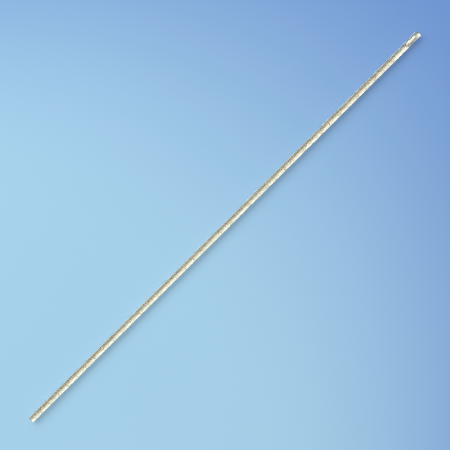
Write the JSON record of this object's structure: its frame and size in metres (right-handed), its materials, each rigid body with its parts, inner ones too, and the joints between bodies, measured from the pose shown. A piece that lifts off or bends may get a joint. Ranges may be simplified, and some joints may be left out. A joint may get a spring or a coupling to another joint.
{
  "type": "graduated pipette",
  "caption": "Slender straight ivory opal-backed glass pipette with an amber enamel scale and numerals down to its open tip, and a cotton-plugged mouthpiece.",
  "frame": {"origin": "centre of the tip's open end, on the tube's axis", "axes": "+X along the tube from the tip to the mouthpiece; +Z out of the front of the scale, up as it lies; +Y towards the side that the scale's short lines run round"},
  "size_m": [0.36, 0.0044, 0.0044],
  "materials": {
    "clear_glass": "gloss",
    "opal_glass": "gloss",
    "amber_enamel": "gloss",
    "cotton": "matte"
  },
  "bodies": {
    "root": {"glass_tube": "clear_glass", "opal_back": "opal_glass", "cotton_plug": "cotton", "scale_lines_00": "amber_enamel", "numeral_00": "amber_enamel", "scale_lines_01": "amber_enamel", "numeral_01": "amber_enamel", "scale_lines_02": "amber_enamel", "numeral_02": "amber_enamel", "scale_lines_03": "amber_enamel", "numeral_03": "amber_enamel", "scale_lines_04": "amber_enamel", "numeral_04": "amber_enamel", "scale_lines_05": "amber_enamel", "numeral_05": "amber_enamel", "scale_lines_06": "amber_enamel", "numeral_06": "amber_enamel", "scale_lines_07": "amber_enamel", "numeral_07": "amber_enamel", "scale_lines_08": "amber_enamel", "numeral_08": "amber_enamel", "scale_lines_09": "amber_enamel", "numeral_09": "amber_enamel", "scale_lines_10": "amber_enamel", "numeral_10": "amber_enamel", "scale_lines_11": "amber_enamel", "numeral_11": "amber_enamel", "scale_lines_12": "amber_enamel", "numeral_12": "amber_enamel", "scale_lines_13": "amber_enamel", "numeral_13": "amber_enamel", "scale_lines_14": "amber_enamel", "numeral_14": "amber_enamel", "scale_lines_15": "amber_enamel", "numeral_15": "amber_enamel", "scale_lines_16": "amber_enamel", "numeral_16": "amber_enamel", "scale_lines_17": "amber_enamel", "numeral_17": "amber_enamel", "scale_lines_18": "amber_enamel", "numeral_18": "amber_enamel", "scale_lines_19": "amber_enamel", "numeral_19": "amber_enamel"}
  },
  "joints": []
}
